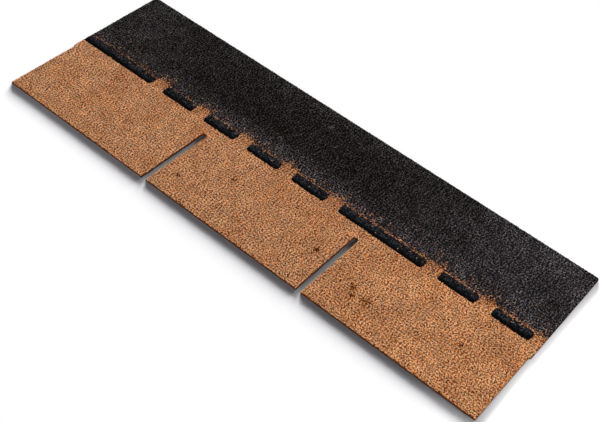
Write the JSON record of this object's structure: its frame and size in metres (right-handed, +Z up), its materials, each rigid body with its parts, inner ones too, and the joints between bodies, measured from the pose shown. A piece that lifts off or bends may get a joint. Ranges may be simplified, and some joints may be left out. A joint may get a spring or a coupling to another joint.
{
  "type": "three-tab asphalt shingle",
  "caption": "Flat asphalt roofing shingle strip with round-ended slots between its tabs, orange granules on the tabs, a charcoal headlap and a broken sealant line.",
  "frame": {"origin": "middle of the underside, on the floor that the strip lies on", "axes": "+X along the strip, +Y from the tab edge towards the headlap edge, +Z up out of the granule face"},
  "size_m": [1, 0.34, 0.0047],
  "materials": {
    "bitumen": "matt black bitumen, sanded on the underside",
    "tab_granules": "orange-tan crushed mineral granules, rough",
    "headlap_granules": "charcoal crushed mineral granules, rough",
    "sealant": "soft black bitumen sealant, satin"
  },
  "bodies": {
    "root": {"mat": "bitumen", "tab_granules": "tab_granules", "headlap_granules": "headlap_granules", "sealant_dash_1": "sealant", "sealant_dash_2": "sealant", "sealant_dash_3": "sealant", "sealant_dash_4": "sealant", "sealant_dash_5": "sealant", "sealant_dash_6": "sealant", "sealant_dash_7": "sealant", "sealant_dash_8": "sealant"}
  },
  "joints": []
}
